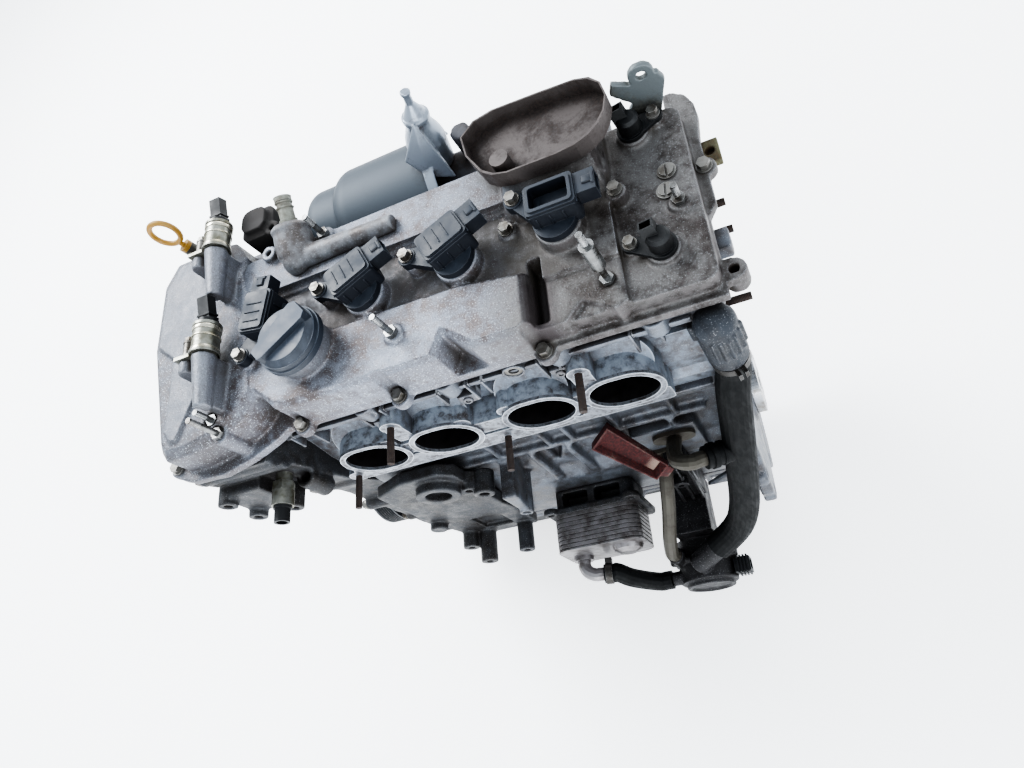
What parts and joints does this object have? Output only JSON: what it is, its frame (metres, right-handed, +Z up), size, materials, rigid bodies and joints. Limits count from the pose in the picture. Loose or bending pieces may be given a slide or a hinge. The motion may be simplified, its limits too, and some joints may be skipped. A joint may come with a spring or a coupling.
{
  "type": "car engine",
  "caption": "Used petrol car engine in line: cast head and block, camshaft cover with ignition coils, exhaust shields, crank pulley, dipstick, electric coolant pump and plate oil cooler.",
  "frame": {"origin": "on the flat bottom of the sump, below the crankshaft axis and midway between the outer intake ports", "axes": "+X along the crankshaft toward the gearbox end, +Y toward the exhaust side, +Z up"},
  "size_m": [0.626, 0.4649, 0.6615],
  "materials": {
    "block_cast": "rough cast, dirty",
    "head_cast": "fine cast, bright",
    "cover_cast": "fine cast, weathered",
    "timing_cast": "rough cast, dirty",
    "pressed_steel_black": "black paint, satin",
    "zinc_steel": "zinc plated, dull",
    "bright_stud": "bright threads",
    "dark_stud": "dark oiled steel",
    "machined_steel": "machined",
    "pulley_steel": "black coated",
    "gasket_rubber": "matte",
    "slate_plastic": "glass-filled plastic, satin",
    "black_plastic": "satin",
    "valve_steel": "passivated",
    "duct_metal": "cast, dirty",
    "tan_steel": "dull passivated steel",
    "ochre_plastic": "glossy",
    "manifold_iron": "heat-browned cast",
    "shield_steel": "matte pressed sheet",
    "shield_brown": "heat-browned sheet",
    "hook_steel": "dark plated",
    "rust_steel": "rusted",
    "hose_rubber": "smooth rubber",
    "pump_cast": "dark coated casting",
    "cooler_steel": "brazed sheet",
    "clamp_steel": "spring steel"
  },
  "bodies": {
    "engine": {"engine_block": "block_cast", "core_plugs": "zinc_steel", "upper_oil_pan": "block_cast", "oil_pan": "pressed_steel_black", "drain_plug": "zinc_steel", "sump_bolts": "zinc_steel", "cylinder_head": "head_cast", "camshaft_housing": "head_cast", "housing_plugs": "zinc_steel", "cam_cover": "cover_cast", "cover_gasket": "gasket_rubber", "cover_bolts": "zinc_steel", "cover_studs": "bright_stud", "ignition_coil_1": "slate_plastic", "ignition_coil_2": "slate_plastic", "ignition_coil_3": "slate_plastic", "ignition_coil_4": "slate_plastic", "coil_bolts": "zinc_steel", "intake_cam_sensor": "black_plastic", "exhaust_cam_sensor": "black_plastic", "small_bolts": "zinc_steel", "intake_oil_control_valve": "valve_steel", "exhaust_oil_control_valve": "valve_steel", "oil_valve_connectors": "black_plastic", "timing_cover": "timing_cast", "timing_cover_bolts": "zinc_steel", "dipstick_tube": "tan_steel", "breather_duct": "duct_metal", "breather_nipple": "tan_steel", "side_housing": "black_plastic", "exhaust_manifold": "manifold_iron", "manifold_nuts": "zinc_steel", "exhaust_shield_left": "shield_steel", "shield_clamp": "valve_steel", "exhaust_shield_right": "shield_brown", "lifting_hook": "hook_steel", "rear_bracket": "rust_steel", "rear_studs": "dark_stud", "intake_studs": "dark_stud", "slotted_screws": "zinc_steel", "water_outlet": "head_cast", "coolant_hose": "hose_rubber", "water_pump": "pump_cast", "pump_connector": "black_plastic", "coolant_pipe_upper": "tan_steel", "coolant_pipe_lower": "tan_steel", "cooler_adapter": "timing_cast", "oil_cooler": "cooler_steel", "cooler_hose": "hose_rubber", "hose_clamps": "clamp_steel", "coolant_inlet_housing": "timing_cast", "rust_bracket": "rust_steel", "oil_pressure_switch": "valve_steel", "pressure_switch_plug": "black_plastic"},
    "crank": {"crankshaft": "machined_steel", "crank_pulley": "pulley_steel", "pulley_bolt": "machined_steel"},
    "filler_cap": {"oil_filler_cap": "slate_plastic"},
    "dipstick_blade": {"dipstick": "ochre_plastic"}
  },
  "joints": [
    {"name": "crank_turn", "type": "hinge", "parent": "engine", "child": "crank", "pos_m": [0, 0, 0.19], "axis": [1, 0, 0], "continuous": true},
    {"name": "filler_cap_turn", "type": "hinge", "parent": "engine", "child": "filler_cap", "pos_m": [-0.125, -0.04, 0.6305], "axis": [0, 0, 1], "range_deg": [0, 90]},
    {"name": "dipstick_pull", "type": "slide", "parent": "engine", "child": "dipstick_blade", "axis": [-0.2379, 0.1366, 0.9616], "range_m": [0, 0.36]}
  ]
}
